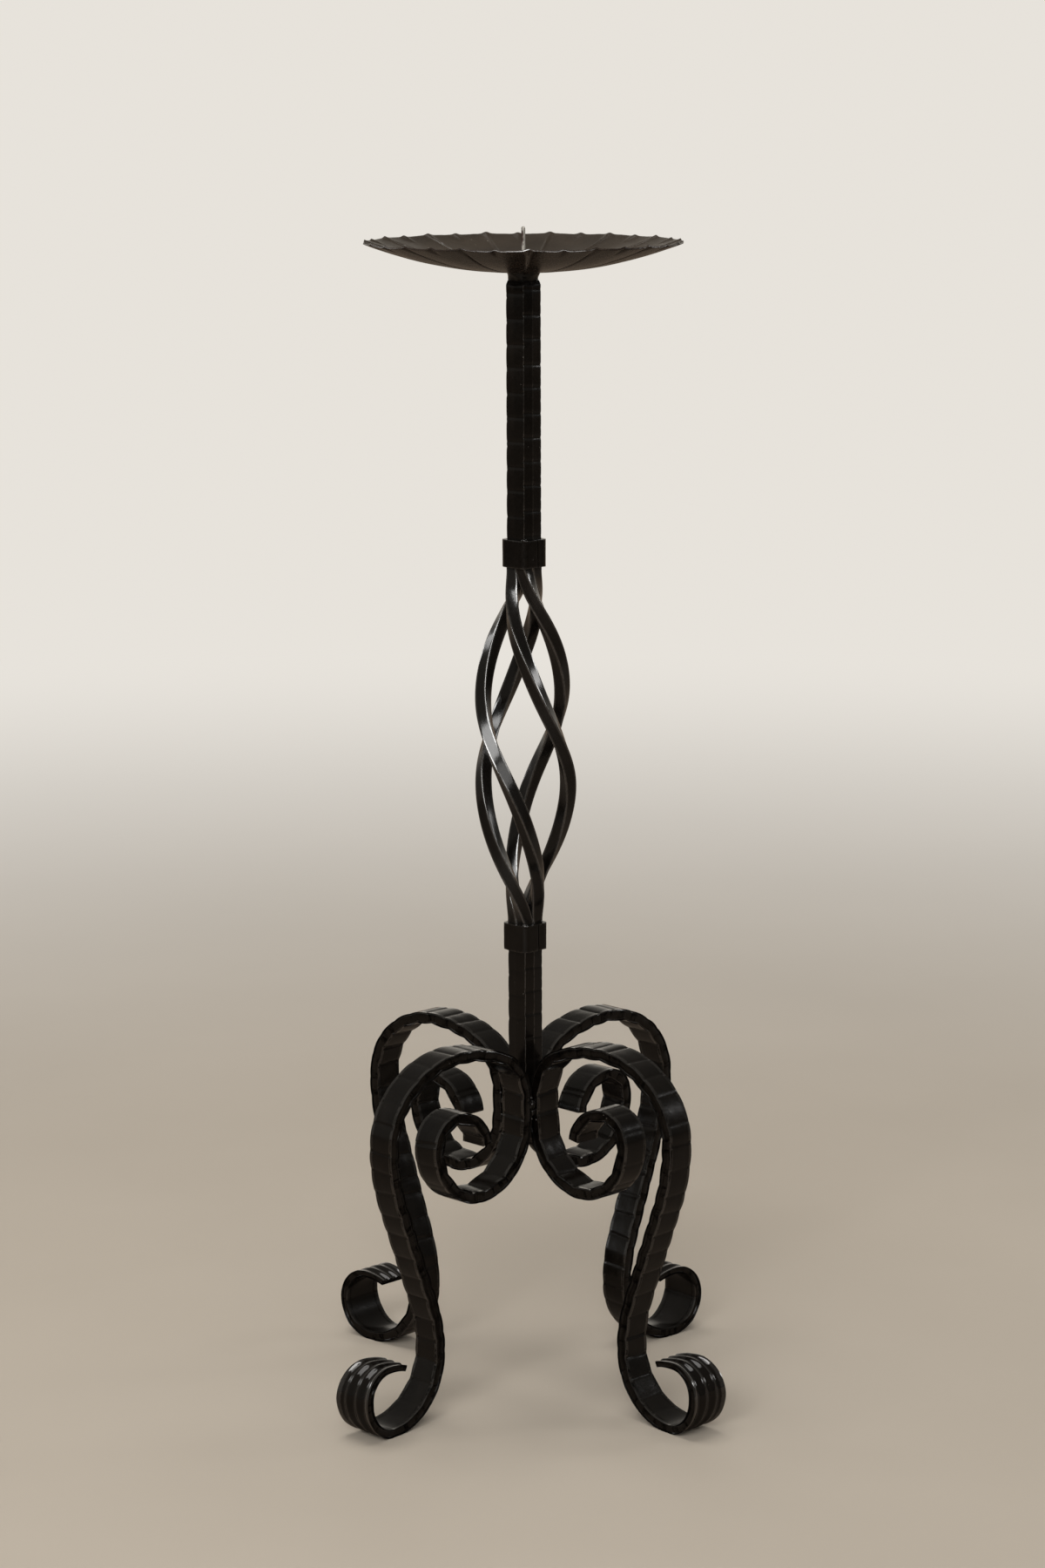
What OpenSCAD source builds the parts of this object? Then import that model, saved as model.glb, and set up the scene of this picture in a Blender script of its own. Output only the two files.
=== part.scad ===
// Wrought-iron pricket candlestand: four scrolled bar legs, a hammered square shaft,
// a twisted four-rod basket held by two collars, and a creased drip pan with a spike.
// Millimetres, +Z up. The origin is on the floor, under the axis of the shaft.
// Each leg is bent in one upright plane, along +X, +Y, -X and -Y.

/* [Shaft] */
// Width of the square shaft bar across its flats
shaft_w = 16; // [12:0.5:20]
// Flat hammered on each upright corner of the shaft
shaft_flat = 1.8; // [0.4:0.1:2.4]
// Cut length of the lower shaft, from its end in the hub to the basket
lower_shaft_l = 121; // [100:1:180]
// Cut length of the upper shaft, from the basket to the weld under the pan
upper_shaft_l = 167; // [120:0.5:260]
// Length of the lower shaft that hangs below the foot of the leg contact
shaft_tail = 4.5; // [1:0.5:8]
// Distance from one hammered groove to the next
groove_pitch = 15; // [10:0.5:25]
// Depth of a hammered groove in the shaft
groove_depth = 0.5; // [0.2:0.1:1]
// Radius of the hammer edge that made the grooves
groove_r = 4; // [2:0.5:8]
// Tilt of a groove across its face, in degrees
groove_tilt_angle = 3; // [0:1:8]
// Bevel round the top end of the upper shaft
top_bevel = 2.5; // [1:0.5:4]

/* [Leg bar] */
// Width of the flat leg bar
bar_w = 18; // [14:0.5:22]
// Thickness of the flat leg bar
bar_t = 8; // [6:0.5:10]
// Gap left for the weld between a bar's edge and the next bar
corner_gap = 3.4; // [2:0.1:5]
// Length of bar that lies flat against the shaft
contact_l = 15.5; // [13:0.5:30]
// Depth of a hammered groove across the bar
bar_dip = 0.35; // [0.1:0.05:0.6]

/* [Leg arch] */
// Bend radius where the bar leaves the shaft
shoulder_r = 32; // [24:1:40]
// Angle of that bend, in degrees
shoulder_angle = 68; // [50:1:80]
// Bend radius over the top of the arch, on the shaft's side
crown_r = 101.5; // [80:0.5:120]
// Bend radius of the arch beyond its top
haunch_r = 62; // [50:1:75]
// Bend radius of the upper knee
knee_r = 42.5; // [34:0.5:50]
// Angle of the upper knee, in degrees
knee_angle = 45; // [35:1:55]
// Bend radius of the lower knee, where the leg turns inwards
calf_r = 110; // [90:1:150]
// Lean of the straight shank, in degrees
lean_angle = 20.5; // [14:0.5:24]
// Length of the straight shank
shank_l = 72; // [40:0.5:90]
// Bend radius of the ankle
ankle_r = 87; // [70:1:120]

/* [Foot scroll] */
// Bend radius of the foot from the ankle to the floor
sole_r = 41.5; // [34:0.5:50]
// Bend radius of the scroll from the floor to its outermost point
toe_r = 23; // [18:0.5:28]
// Bend radius of the scroll from its outermost point to its top
toe_top_r = 18.5; // [15:0.5:24]
// Bend radius of the scroll's free end
tail_r = 45; // [30:1:60]
// Angle of the scroll's free end, in degrees
tail_angle = 20; // [10:1:30]
// Width of the flattened scroll
scroll_w = 27; // [20:0.5:32]
// Thickness of the flattened scroll
scroll_t = 5.4; // [4:0.2:7]
// Width at the scroll's tip
tip_w = 20; // [14:0.5:26]
// Thickness at the scroll's tip
tip_t = 4; // [3:0.2:6]
// Depth of the three flutes along the scroll
flute_depth = 1; // [0.4:0.1:1.6]
// Depth worn flat where a foot meets the floor
foot_flat = 0.4; // [0.2:0.1:0.8]

/* [Inner curl] */
// Bend radius where the bar leaves the shaft downwards
curl_in_r = 40; // [34:0.5:46]
// Bend radius from the bottom of the curl to its outermost point
curl_out_r = 36.5; // [30:0.5:42]
// Bend radius from the outermost point to the curl's top
curl_top_r = 17.5; // [14:0.5:22]
// Bend radius of the curl's free end
curl_end_r = 25; // [18:0.5:32]
// Angle of the curl's free end, in degrees
curl_end_angle = 80; // [50:1:95]

/* [Basket] */
// Gap between the bundled square rods, which together are as wide as the shaft
rod_gap = 0.2; // [0.2:0.1:0.6]
// Cut height of the basket, between the ends of the two shafts
basket_l = 242; // [180:1:320]
// Greatest distance from the axis to the middle of a rod
basket_r = 27.8; // [18:0.1:40]
// Turn of the rods from the lower collar to the upper one, in degrees
basket_turn_angle = 270; // [180:90:360]
// How much faster the rods turn in the outer halves than round the middle
basket_ease = 0.4; // [0:0.02:0.5]
// How much faster again they turn close to the collars
basket_ease_end = 0.28; // [0:0.02:0.3]

/* [Collars] */
// Height of a collar
collar_h = 17.5; // [12:0.5:26]
// Thickness of a collar's strap
collar_t = 2.6; // [1.5:0.1:4]
// Radius on a collar's outer corners
collar_corner_r = 4; // [2:0.5:5]
// Width of the seam where the strap's ends meet
seam_w = 0.6; // [0.4:0.1:1.2]
// Clearance between a collar and the bar inside it
collar_gap = 0.1; // [0.05:0.05:0.3]
// Radius of the tack weld on a collar
tack_r = 2.2; // [1.5:0.1:3]

/* [Drip pan] */
// Outside radius of the pan
pan_r = 97.5; // [70:0.5:130]
// Depth of the pan, from its rim to the underside of its middle
pan_depth = 20; // [12:0.5:30]
// Thickness of the sheet
pan_t = 1.5; // [1:0.1:2.5]
// Radius of the flat in the middle of the pan
pan_flat_r = 11; // [11:0.5:16]
// Number of long creases, with a short one between each two
pan_creases = 15; // [9:1:21]
// Height that a crease lifts the rim
crease_h = 1; // [0.3:0.1:1.5]
// Width of a crease at the rim
crease_w = 6; // [3:0.5:7]
// Direction of the first long crease, in degrees
crease_start_angle = 11; // [0:1:24]

/* [Spike and weld] */
// Radius of the spike
spike_r = 1.5; // [1.2:0.1:2.5]
// Length of the spike above the pan's floor
spike_l = 26; // [18:0.5:50]
// How much thicker the spike's shank is where it passes the pan
shank_step = 0.2; // [0.1:0.1:0.5]
// Radius of the spike's head, under the pan
head_r = 3.2; // [3.2:0.1:4]
// Thickness of the spike's head
head_t = 1.5; // [1:0.1:2]
// Clearance round the spike's shank and head
spike_gap = 0.05; // [0.02:0.01:0.1]
// Height of the weld between the shaft and the pan
neck_h = 5; // [3.5:0.1:8]
// Radius of that weld
neck_r = 9; // [7:0.1:9.4]
// How far the weld flares where it meets the pan
neck_flare = 1.2; // [0.5:0.1:1.5]
// Radius of a weld bead in the corners of the hub
bead_r = 3.4; // [2.5:0.1:4]
// Length of a weld bead in the hub
bead_l = 12; // [9:0.5:13]

/* [Hidden] */
iron = [0.08, 0.07, 0.06];
pan_iron = [0.16, 0.15, 0.12];
weld_iron = [0.14, 0.12, 0.11];
bare_steel = [0.55, 0.52, 0.48];
eps = 0.01;
$fn = 48;
rod_w = shaft_w / 2 - rod_gap;
seam_x = 1.5;
tack_gap = 1;
rod_steps = 48;
basket_belly = 2.4;
basket_tip = 1.6;
bundle_share = 0.01;
rod_lead_angles = [4, 10, 10, 10];
rod_swell_shares = [1.04, 1.03, 0.97, 0.97];
pan_steps = 7;
short_crease_share = 0.7;

// The bar is followed from the foot of its contact with the shaft: up over the arch to
// the foot, and the other way down into the inner curl. A step is [bend radius, angle],
// a left turn being positive, or [0, length] where the bar is straight.
leg_steps = [
    [0, contact_l],
    [shoulder_r, -shoulder_angle],
    [crown_r, shoulder_angle - 90],
    [haunch_r, knee_angle - 90],
    [knee_r, -knee_angle],
    [calf_r, -lean_angle],
    [0, shank_l],
    [ankle_r, lean_angle],
    [sole_r, 90],
    [toe_r, 90],
    [toe_top_r, 90],
    [tail_r, tail_angle]
];
sole_step = 8;
curl_steps = [
    [curl_in_r, 90],
    [curl_out_r, 90],
    [curl_top_r, 90],
    [curl_end_r, curl_end_angle]
];

function run_of(step) = step[0] == 0 ? step[1] : abs(step[1]) * PI / 180 * step[0];
function run_to(steps, count) = count == 0 ? 0 : run_of(steps[count - 1]) + run_to(steps, count - 1);

// A place on a bar is [distance from the axis, height, heading in degrees]
function bend(place, step) =
    step[0] == 0
    ? [place[0] + step[1] * cos(place[2]), place[1] + step[1] * sin(place[2]), place[2]]
    : let (side = sign(step[1]) * step[0], turned = place[2] + step[1])
      [
          place[0] + side * (sin(turned) - sin(place[2])),
          place[1] - side * (cos(turned) - cos(place[2])),
          turned
      ];
function walk(place, steps, s, i = 0) =
    let (run = run_of(steps[i]))
    s <= run || i == len(steps) - 1
    ? bend(place, [steps[i][0], steps[i][1] * s / run])
    : walk(bend(place, steps[i]), steps, s - run, i + 1);

leg_run = run_to(leg_steps, len(leg_steps));
curl_run = run_to(curl_steps, len(curl_steps));
scroll_start = run_to(leg_steps, sole_step);
sole_end = run_to(leg_steps, sole_step + 1);
toe_end = run_to(leg_steps, sole_step + 2);

function wide(s) = lookup(s, [[scroll_start, bar_w], [sole_end, (bar_w + scroll_w) / 2],
    [(sole_end + toe_end) / 2, scroll_w], [toe_end, scroll_w], [leg_run, tip_w]]);
function thick(s) = lookup(s, [[scroll_start, bar_t], [(sole_end + toe_end) / 2, scroll_t],
    [toe_end, scroll_t], [leg_run, tip_t]]);
function fluted(s) = lookup(s, [[sole_end, 0], [(sole_end + toe_end) / 2, flute_depth]]);

// The foot decides how high the contact lies, so that every bar reaches the floor
bar_r = shaft_w / 2 + bar_t / 2;
sole_drop = walk([bar_r, 0, 90], leg_steps, sole_end)[1];
contact_z = thick(sole_end) / 2 - foot_flat - sole_drop;
leg_shift = bar_w / 2 - (shaft_w / 2 - corner_gap);

// Heights up the stand
shaft_z = contact_z - shaft_tail;
basket_z = shaft_z + lower_shaft_l;
basket_top_z = basket_z + basket_l;
shaft_top_z = basket_top_z + upper_shaft_l;
pan_z = shaft_top_z + neck_h;
pan_floor_z = pan_z + pan_t;

function middle_of(ring) = [for (k = [0 : len(ring) - 1]) 1] * ring / len(ring);

// Rings of points joined into one closed skin. Each ring runs the same way round, and
// the ends are closed from a point in their middle
module skin(rings) {
    count = len(rings[0]);
    last = len(rings) - 1;
    ends = [middle_of(rings[0]), middle_of(rings[last])];
    points = concat([for (ring = rings) for (p = ring) p], ends);
    first_end = count * (last + 1);
    sides = [
        for (i = [0 : last - 1])
            for (k = [0 : count - 1])
                let (a = i * count + k, b = i * count + (k + 1) % count)
                    each [[a, a + count, b], [b, a + count, b + count]]
    ];
    near_cap = [for (k = [0 : count - 1]) [first_end, k, (k + 1) % count]];
    far_cap = [
        for (k = [0 : count - 1])
            [first_end + 1, last * count + (k + 1) % count, last * count + k]
    ];
    polyhedron(points, concat(near_cap, sides, far_cap), 4);
}

// One leg bar, in the plane y = 0 shifted sideways so that its back lies on the shaft
ring_step = groove_pitch / 3;
first_ring = -floor(curl_run / ring_step);
last_ring = floor(leg_run / ring_step);
function bar_place(s) =
    s < 0
    ? let (q = walk([bar_r, contact_z, -90], curl_steps, -s)) [q[0], q[1], q[2] + 180]
    : walk([bar_r, contact_z, 90], leg_steps, s);
function dip(i) = i % 3 == 0 && i * ring_step < scroll_start && (i < 0 || i * ring_step > contact_l)
    ? bar_dip
    : 0;
function bar_ring(s, dent) =
    let (
        q = bar_place(s),
        out = [-sin(q[2]), 0, cos(q[2])],
        half_t = thick(s) / 2 - dent,
        half_w = wide(s) / 2,
        middle = [q[0], leg_shift, q[1]],
        face = [
            for (k = [-3 : 3])
                middle - out * (half_t - (1 - abs(k % 2)) * fluted(s)) + [0, half_w * k / 3, 0]
        ]
    )
    concat(
        face,
        [middle + out * half_t + [0, half_w, 0], middle + out * half_t - [0, half_w, 0]]
    );

module leg(turn) {
    places = concat(
        [[-curl_run, 0]],
        [for (i = [first_ring : last_ring]) [i * ring_step, dip(i)]],
        [[leg_run, 0]]
    );
    rings = [for (p = places) bar_ring(p[0], p[1])];
    reach = scroll_w + leg_run;
    color(iron)
        rotate([0, 0, turn])
            difference() {
                skin(rings);
                translate([0, -reach / 2, -reach])
                    cube([reach, reach, reach]);
            }
}

// Weld beads in the four corners of the hub, between a bar's back, the next bar's edge
// and the shaft
module hub_welds() {
    color(weld_iron)
        for (turn = [0 : 90 : 270])
            rotate([0, 0, turn])
                translate([0, 0, contact_z + contact_l / 2])
                    difference() {
                        translate([shaft_w / 2 - corner_gap / 2, shaft_w / 2 + bead_r, 0])
                            hub_bead();
                        cube([shaft_w, shaft_w, bead_l * 2], center = true);
                        for (side = [0, 90])
                            rotate([0, 0, side])
                                translate([bar_r, leg_shift, 0])
                                    cube([bar_t, bar_w, bead_l * 2], center = true);
                    }
}
module hub_bead() {
    straight = bead_l - bead_r * 2;
    cylinder(h = straight, r = bead_r, center = true);
    for (end = [-1, 1])
        translate([0, 0, end * straight / 2])
            sphere(bead_r);
}

// A length of square shaft: its corners are hammered flat, and hammered grooves cross its
// faces, each face's row a quarter of a pitch above the last
module shaft_bar(bottom, top, groove_bottom, groove_top) {
    half = shaft_w / 2;
    inner = half - shaft_flat / sqrt(2);
    difference() {
        translate([0, 0, bottom])
            linear_extrude(top - bottom)
                polygon([
                    [inner, -half], [half, -inner], [half, inner], [inner, half],
                    [-inner, half], [-half, inner], [-half, -inner], [-inner, -half]
                ]);
        for (side = [0 : 3])
            rotate([0, 0, side * 90])
                for (z = [groove_bottom + side * groove_pitch / 4 : groove_pitch : groove_top])
                    translate([0, groove_depth - half - groove_r, z])
                        rotate([0, 90 + groove_tilt_angle, 0])
                            cylinder(h = shaft_w * 2, r = groove_r, center = true);
    }
}

module lower_shaft() {
    arch_z = contact_z + contact_l + shoulder_r;
    color(iron)
        shaft_bar(shaft_z, basket_z, arch_z, basket_z - collar_h / 2 - groove_r);
}

module upper_shaft() {
    color(iron)
        difference() {
            shaft_bar(
                basket_top_z,
                shaft_top_z,
                basket_top_z + collar_h / 2 + groove_r * 2,
                shaft_top_z - top_bevel - groove_r
            );
            for (side = [0 : 90 : 270])
                rotate([0, 0, side])
                    translate([0, -shaft_w / 2, shaft_top_z])
                        rotate([45, 0, 0])
                            cube([shaft_w * 2, top_bevel * sqrt(2), top_bevel * sqrt(2)], center = true);
        }
}

// A strap bent round the joint of shaft and rods, its ends meeting in a seam
strap_in = shaft_w / 2 + collar_gap;
strap_out = strap_in + collar_t;
module collar(middle_z) {
    flat = strap_out - collar_corner_r;
    color(iron)
        translate([0, 0, middle_z - collar_h / 2])
            linear_extrude(collar_h)
                difference() {
                    union() {
                        square([strap_out * 2, flat * 2], center = true);
                        square([flat * 2, strap_out * 2], center = true);
                        for (x = [-flat, flat])
                            for (y = [-flat, flat])
                                translate([x, y])
                                    circle(collar_corner_r);
                    }
                    square([strap_in * 2, strap_in * 2], center = true);
                    translate([seam_x, -strap_out])
                        square([seam_w, collar_t * 3], center = true);
                }
}

// A tack of weld on the near corner of each collar's upper edge
module collar_tacks() {
    color(weld_iron)
        for (middle_z = [basket_z, basket_top_z])
            translate([0, 0, middle_z + collar_h / 2])
                difference() {
                    translate([-strap_in, -strap_in, 0])
                        sphere(tack_r);
                    cube([strap_in * 2 + tack_gap, strap_in * 2 + tack_gap, tack_r * 4], center = true);
                    translate([-strap_in, -strap_in, -tack_r])
                        cube([tack_r * 4, tack_r * 4, tack_r * 2], center = true);
                }
}

// Four square rods stand bundled in the collars, and between them they turn together,
// left-handed from the upper collar down, and swell into the basket. They were bent hot and
// by eye, so each rod's middle leads the even twist by its own angle and swells its own way.
twist_from = basket_z + collar_h / 2;
twist_to = basket_top_z - collar_h / 2;
bundle_r = (rod_w + rod_gap) / sqrt(2);
function kept(value) = min(max(value, 0), 1);
function rod_angle(u) =
    basket_turn_angle * (
        u + basket_ease * sin(360 * u) / (2 * PI) + basket_ease_end * sin(720 * u) / (4 * PI)
    );
function rod_bulge(u) = pow(1 - pow(abs(2 * u - 1), basket_belly), basket_tip);
function rod_point(number, z) =
    let (
        down = kept((twist_to - z) / (twist_to - twist_from)),
        spread = kept((down - bundle_share) / (1 - 2 * bundle_share)),
        swell = rod_swell_shares[number] * rod_bulge(spread),
        r = bundle_r + (basket_r - bundle_r) * swell,
        a = 45 + number * 90 + rod_angle(down) + rod_lead_angles[number] * sin(180 * down)
    )
    [r * cos(a), r * sin(a), z];
function rod_ring(number, z) =
    let (
        p = rod_point(number, z),
        run = rod_point(number, z + 0.5) - rod_point(number, z - 0.5),
        along = run / norm(run),
        radial = [p[0], p[1], 0] / norm([p[0], p[1]]),
        across = radial - along * (radial * along),
        out = across / norm(across),
        reach = rod_w / sqrt(2)
    )
    [p + out * reach, p + cross(along, out) * reach, p - out * reach, p - cross(along, out) * reach];

module basket_rod(number) {
    inside = [for (i = [0 : rod_steps]) twist_from + (twist_to - twist_from) * i / rod_steps];
    heights = concat([basket_z], inside, [basket_top_z]);
    color(iron)
        skin([for (z = heights) rod_ring(number, z)]);
}

// Weld between the shaft and the pan, with the spike's head buried in its top
module pan_weld() {
    color(weld_iron)
        translate([0, 0, shaft_top_z])
            difference() {
                rotate_extrude()
                    polygon([
                        [0, 0], [neck_r - neck_flare, 0], [neck_r, neck_h / 3],
                        [neck_r, neck_h * 2 / 3], [neck_r + neck_flare, neck_h], [0, neck_h]
                    ]);
                translate([0, 0, neck_h - head_t - spike_gap])
                    cylinder(h = head_t * 2, r = head_r + spike_gap);
            }
}

// The pan is sheet dished to a shallow bowl. Creases struck from below stand up inside it
// and lift its rim: long ones from the flat, and a short one between each two
pan_sides = pan_creases * 6;
crease_gap = 180 / pan_creases;
crease_half = asin(crease_w / 2 / pan_r);
crease_points = [0, crease_half, crease_gap - crease_half];
pan_rise = pan_depth - pan_t - crease_h;
dish_r = (pan_r * pan_r + pan_rise * pan_rise) / (2 * pan_rise);
function dish(r) = dish_r - sqrt(dish_r * dish_r - r * r);
function pan_height(r) = pan_rise * (dish(r) - dish(pan_flat_r)) / (dish(pan_r) - dish(pan_flat_r));
function crease(j, u) =
    j % 6 == 0
    ? crease_h * kept(u * 2)
    : (j % 6 == 3 ? crease_h * kept((u - short_crease_share) / (1 - short_crease_share)) : 0);
function pan_ring(u, lift) =
    let (r = pan_flat_r + (pan_r - pan_flat_r) * u)
    [
        for (j = [0 : pan_sides - 1])
            let (a = crease_start_angle + crease_gap * floor(j / 3) + crease_points[j % 3])
                [r * cos(a), r * sin(a), pan_z + lift + pan_height(r) + crease(j, u)]
    ];

module drip_pan() {
    outward = [for (i = [0 : pan_steps]) pan_ring(i / pan_steps, 0)];
    inward = [for (i = [pan_steps : -1 : 0]) pan_ring(i / pan_steps, pan_t)];
    color(pan_iron)
        difference() {
            skin(concat(outward, inward));
            translate([0, 0, pan_z - pan_t])
                cylinder(h = pan_t * 3, r = spike_r + shank_step + spike_gap);
        }
}

module pricket_spike() {
    color(bare_steel) {
        translate([0, 0, pan_z - head_t])
            cylinder(h = head_t, r = head_r);
        translate([0, 0, pan_z - eps])
            cylinder(h = pan_t + eps, r = spike_r + shank_step);
        translate([0, 0, pan_floor_z - eps])
            cylinder(h = spike_l - spike_r + eps, r = spike_r);
        translate([0, 0, pan_floor_z + spike_l - spike_r])
            sphere(spike_r);
    }
}

leg(180);  // leg_front_left
leg(270);  // leg_front_right
leg(0);  // leg_back_right
leg(90);  // leg_back_left
hub_welds();
lower_shaft();
collar(basket_z);  // lower_collar
basket_rod(0);  // basket_rod_1
basket_rod(1);  // basket_rod_2
basket_rod(2);  // basket_rod_3
basket_rod(3);  // basket_rod_4
collar(basket_top_z);  // upper_collar
collar_tacks();
upper_shaft();
pan_weld();
drip_pan();
pricket_spike();
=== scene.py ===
"""Looks of a wrought-iron candlestand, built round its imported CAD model.

The sections follow the stand as a smith puts it together, from the legs to the spike.
Sizes are written in millimetres and multiplied by MM. The origin is on the floor under
the shaft, +Z is up, and everything on the stand rides on its one body, root.
"""

import bisect
import math

import bpy
from mathutils import Matrix, Vector, noise


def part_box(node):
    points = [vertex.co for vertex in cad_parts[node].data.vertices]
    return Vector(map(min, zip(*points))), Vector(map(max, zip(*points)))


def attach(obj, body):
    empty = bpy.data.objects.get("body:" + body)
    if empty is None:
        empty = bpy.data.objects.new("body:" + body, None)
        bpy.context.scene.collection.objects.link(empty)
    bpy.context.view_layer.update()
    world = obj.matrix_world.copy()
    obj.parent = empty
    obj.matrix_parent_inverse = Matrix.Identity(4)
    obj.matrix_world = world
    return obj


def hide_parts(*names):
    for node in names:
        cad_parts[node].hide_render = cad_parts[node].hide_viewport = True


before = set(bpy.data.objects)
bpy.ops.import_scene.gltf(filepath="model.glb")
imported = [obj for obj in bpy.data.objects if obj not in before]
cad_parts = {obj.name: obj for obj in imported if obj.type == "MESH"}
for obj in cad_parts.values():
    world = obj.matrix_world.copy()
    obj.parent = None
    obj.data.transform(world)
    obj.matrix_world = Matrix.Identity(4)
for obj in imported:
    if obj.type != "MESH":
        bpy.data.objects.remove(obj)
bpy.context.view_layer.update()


# The four legs. Each is one flat bar of mild steel, drawn hot under a cross-peen hammer,
# whose blows leave pillows and creases right across it, then bent on edgeless scrolls:
# an inner curl, the arch, two knees and a foot flattened into a fluted scroll.
MM = 0.001
BAR_W = 18 * MM
BAR_T = 8 * MM
BAR_ARRIS = 1.4 * MM
BAR_OFF_AXIS = 4.4 * MM
BAR_BACK_R = 12 * MM
CONTACT_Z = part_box("lower_shaft")[0].z + 4.5 * MM
# A step is (bend radius, angle), a left turn being positive, or (0, length) when straight
LEG_STEPS = [
    (0, 15.5), (32, -68), (101.5, -22), (62, -45), (42.5, -45), (110, -20.5),
    (0, 72), (87, 20.5), (41.5, 90), (23, 90), (18.5, 90), (45, 20),
]
SOLE_STEP = 8
CURL_STEPS = [(40, 90), (36.5, 90), (17.5, 90), (25, 80)]
SCROLL_W = 27 * MM
SCROLL_T = 5.4 * MM
TIP_W = 20 * MM
TIP_T = 4 * MM
FLUTE_DEPTH = 1.15 * MM
BLOW_PITCH = 15 * MM
FLAT_SHARE = 0.55
FLAT_MOST = 0.5 * MM
SCALE_LOSS = 0.15 * MM
RING_GAP = 0.95 * MM
BAR_CELLS_ACROSS = 24


def edit(piece, kind="FACE"):
    """Opens one piece in edit mode with nothing selected."""
    if bpy.context.object and bpy.context.object.mode == "EDIT":
        bpy.ops.object.mode_set(mode="OBJECT")
    bpy.ops.object.select_all(action="DESELECT")
    bpy.context.view_layer.objects.active = piece
    piece.select_set(True)
    bpy.ops.object.mode_set(mode="EDIT")
    bpy.ops.mesh.select_mode(type=kind)
    bpy.ops.mesh.select_all(action="DESELECT")


def done():
    bpy.ops.object.mode_set(mode="OBJECT")


def pick(piece, test, kind="FACE"):
    """Selects the vertices, edges or faces whose middle passes the test, in edit mode."""
    bpy.ops.object.mode_set(mode="OBJECT")
    mesh = piece.data
    for part in (mesh.vertices, mesh.edges, mesh.polygons):
        part.foreach_set("select", [False] * len(part))
    if kind == "VERT":
        for vertex in mesh.vertices:
            vertex.select = test(vertex.co)
    elif kind == "EDGE":
        for edge in mesh.edges:
            a, b = (mesh.vertices[i].co for i in edge.vertices)
            edge.select = test(a, b)
    else:
        for face in mesh.polygons:
            face.select = test(face.center, face.normal)
    bpy.ops.object.mode_set(mode="EDIT")
    bpy.ops.mesh.select_mode(type=kind)


def slab(name, length, width, thickness, cells_along, cells_across, edge):
    """A flat bar along X, from x = 0, with rounded arrises and a grid over its two faces."""
    bpy.ops.object.select_all(action="DESELECT")
    bpy.ops.mesh.primitive_grid_add(x_subdivisions=cells_along, y_subdivisions=cells_across, size=1)
    bar = bpy.context.object
    bar.name = name
    edit(bar)
    bpy.ops.mesh.select_all(action="SELECT")
    bpy.ops.transform.resize(value=(length, width, 1))
    bpy.ops.transform.translate(value=(length / 2, 0, -thickness / 2))
    bpy.ops.mesh.extrude_region_move(TRANSFORM_OT_translate={"value": (0, 0, thickness)})
    bpy.ops.mesh.select_all(action="SELECT")
    bpy.ops.mesh.normals_make_consistent(inside=False)
    bpy.ops.mesh.select_all(action="DESELECT")
    bpy.ops.mesh.edges_select_sharp(sharpness=math.radians(60))
    bpy.ops.mesh.bevel(offset=edge, segments=3)
    done()
    return bar


def copy_of(piece, name):
    bpy.ops.object.select_all(action="DESELECT")
    piece.select_set(True)
    bpy.context.view_layer.objects.active = piece
    bpy.ops.object.duplicate()
    twin = bpy.context.object
    twin.name = name
    twin.data.name = name
    return twin


def discard(piece):
    mesh = piece.data
    bpy.data.objects.remove(piece)
    bpy.data.meshes.remove(mesh)


def run_of(step):
    return step[1] if step[0] == 0 else abs(math.radians(step[1])) * step[0]


def bent(place, step):
    """The place (distance from the axis, height, heading) at the end of one step, in mm."""
    r, z, heading = place
    if step[0] == 0:
        return r + step[1] * math.cos(heading), z + step[1] * math.sin(heading), heading
    side = math.copysign(step[0], step[1])
    turned = heading + math.radians(step[1])
    return (r + side * (math.sin(turned) - math.sin(heading)),
            z - side * (math.cos(turned) - math.cos(heading)), turned)


def along(place, steps, s):
    """The place some way along a row of steps, and how sharply the bar bends there."""
    for step in steps:
        run = run_of(step)
        if s <= run or step is steps[-1]:
            curve = math.copysign(1 / step[0], step[1]) if step[0] else 0
            return (*bent(place, (step[0], step[1] * s / run)), curve)
        place, s = bent(place, step), s - run


def leg_line(s):
    """A leg's middle line: distance out, height, heading and bend, in mm."""
    if s < 0:
        r, z, heading, curve = along((BAR_BACK_R / MM, 0, -math.pi / 2), CURL_STEPS, -s / MM)
        return r, z, heading + math.pi, -curve
    return along((BAR_BACK_R / MM, 0, math.pi / 2), LEG_STEPS, s / MM)


def lookup(x, table):
    """Straight lines between the points of a table, as a smith's template has them."""
    if x <= table[0][0]:
        return table[0][1]
    for (x0, y0), (x1, y1) in zip(table, table[1:]):
        if x <= x1:
            return y0 + (y1 - y0) * (x - x0) / (x1 - x0)
    return table[-1][1]


def steady(value):
    """A value from 0 to 1 turned to a smooth start and stop."""
    value = min(max(value, 0), 1)
    return value * value * (3 - 2 * value)


def blow_row(start, stop, seed, wander, slant_most):
    """A row of blows along a bar: where each crease lies, its slant and its depth."""
    row = []
    for i in range(round((stop - start) / BLOW_PITCH) + 1):
        here = Vector((i * 1.37, seed * 7.3, 1.7))
        row.append((start + (i + wander * noise.noise(here)) * BLOW_PITCH,
                    slant_most * noise.noise(here + Vector((0, 0, 9))),
                    0.8 + 0.6 * noise.noise(here * 1.9)))
    return row


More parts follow.
